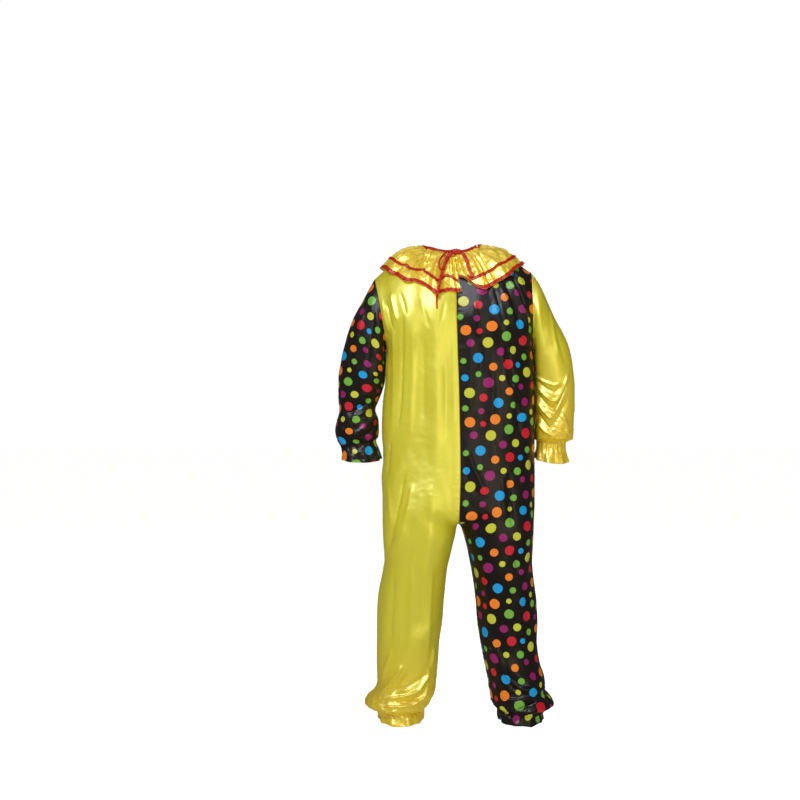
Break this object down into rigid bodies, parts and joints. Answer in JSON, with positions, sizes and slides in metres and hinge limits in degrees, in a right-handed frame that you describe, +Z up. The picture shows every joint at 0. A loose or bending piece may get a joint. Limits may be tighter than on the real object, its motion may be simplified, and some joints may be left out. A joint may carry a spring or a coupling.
{
  "type": "clown jumpsuit",
  "caption": "Jumpsuit in plain and dotted satin with gathered wrists and ankles, a ruffled collar trimmed with ribbon, and a back opening tied with a bow.",
  "frame": {"origin": "middle of the neck line at shoulder height, where the wearer's shoulders carry the suit", "axes": "+Z up along the body, -Y out of the front, +X toward the wearer's left"},
  "size_m": [0.7576, 0.3336, 1.4982],
  "materials": {
    "yellow_satin": "glossy satin weave",
    "dotted_satin": "glossy satin weave, printed with dots",
    "red_ribbon": "satin ribbon"
  },
  "bodies": {
    "root": {"back_left": "yellow_satin", "back_right": "dotted_satin", "front_left": "yellow_satin", "front_right": "dotted_satin", "sleeve_left": "dotted_satin", "sleeve_right": "yellow_satin", "collar": "yellow_satin", "collar_binding": "red_ribbon", "collar_trim": "red_ribbon", "neck_ribbon": "red_ribbon", "bow_knot": "red_ribbon", "bow_loop": "red_ribbon", "tail_left": "red_ribbon", "tail_right": "red_ribbon"}
  },
  "joints": []
}
